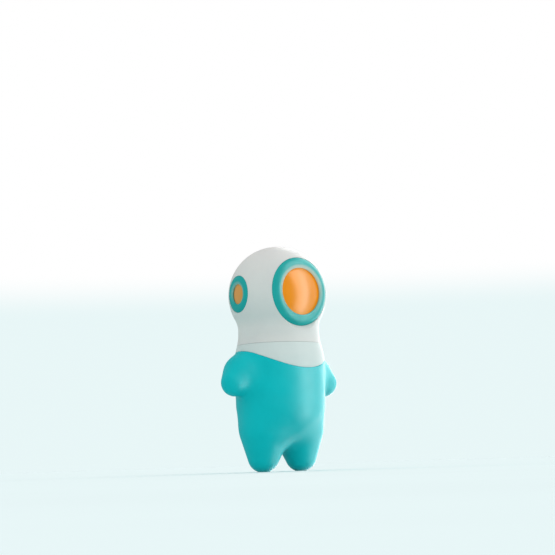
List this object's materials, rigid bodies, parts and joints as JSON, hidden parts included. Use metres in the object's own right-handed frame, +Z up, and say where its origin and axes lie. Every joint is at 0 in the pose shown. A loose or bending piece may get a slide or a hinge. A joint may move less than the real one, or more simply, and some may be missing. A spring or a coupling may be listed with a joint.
{
  "type": "light-up diver bath toy",
  "caption": "Floating bath toy shaped as a small round-headed diver; its helmet lights up in water and lifts off for the battery pod.",
  "frame": {"origin": "the middle of the bounding box's underside, on the plane of the soles", "axes": "+Z up, -Y the way the figure faces, +X the figure's own left; the helmet and neck turn about the upright line through (0, -0.00115)"},
  "size_m": [0.0814, 0.0559, 0.133],
  "materials": {
    "helmet": "satin white dome, faintly translucent",
    "port_ring": "satin teal ring",
    "port_window": "orange, glowing from the lamp behind it",
    "retainer": "satin white",
    "seal_rubber": "matte black",
    "collar": "satin white",
    "suit": "matte soft turquoise vinyl",
    "pod": "satin white",
    "screw_steel": "zinc plated",
    "circuit_board": "green solder mask",
    "lamp": "clear lamp resin",
    "chip": "black",
    "diffuser": "milky, translucent",
    "contact": "nickel plated strip",
    "cell": "bright steel can",
    "stainless": "polished",
    "ballast": "galvanised steel"
  },
  "bodies": {
    "torso": {"collar_shell": "collar", "suit_shell": "suit", "battery_tub": "pod", "tub_gasket": "seal_rubber", "tub_screw_1": "screw_steel", "tub_screw_2": "screw_steel", "tub_screw_3": "screw_steel", "button_cell_1": "cell", "button_cell_2": "cell", "button_cell_3": "cell", "lower_contact": "contact", "sensor_pin_left": "stainless", "sensor_pin_right": "stainless", "sensor_washer_left": "seal_rubber", "sensor_washer_right": "seal_rubber", "sensor_nut_left": "stainless", "sensor_nut_right": "stainless", "ballast_rod": "stainless", "ballast_weight": "ballast", "ballast_nut": "stainless"},
    "seal": {"neck_seal": "seal_rubber"},
    "helmet": {"helmet_shell": "helmet", "front_bezel": "port_ring", "front_window": "port_window", "front_retainer": "retainer", "side_left_bezel": "port_ring", "side_left_window": "port_window", "side_left_retainer": "retainer", "side_right_bezel": "port_ring", "side_right_window": "port_window", "side_right_retainer": "retainer"},
    "cap": {"battery_cap": "pod", "cap_screw_1": "screw_steel", "cap_screw_2": "screw_steel", "led_board": "circuit_board", "led_lamp": "lamp", "control_chip": "chip", "light_dome": "diffuser", "upper_contact": "contact"}
  },
  "joints": [
    {"name": "helmet_lift", "type": "slide", "parent": "torso", "child": "seal", "axis": [0, 0, 1], "range_m": [0, 0.045]},
    {"name": "helmet_turn", "type": "hinge", "parent": "seal", "child": "helmet", "pos_m": [0, -0.00115, 0.0744], "axis": [0, 0, 1], "continuous": true},
    {"name": "battery_cap_lift", "type": "slide", "parent": "torso", "child": "cap", "axis": [0, 0, 1], "range_m": [0, 0.02]}
  ]
}
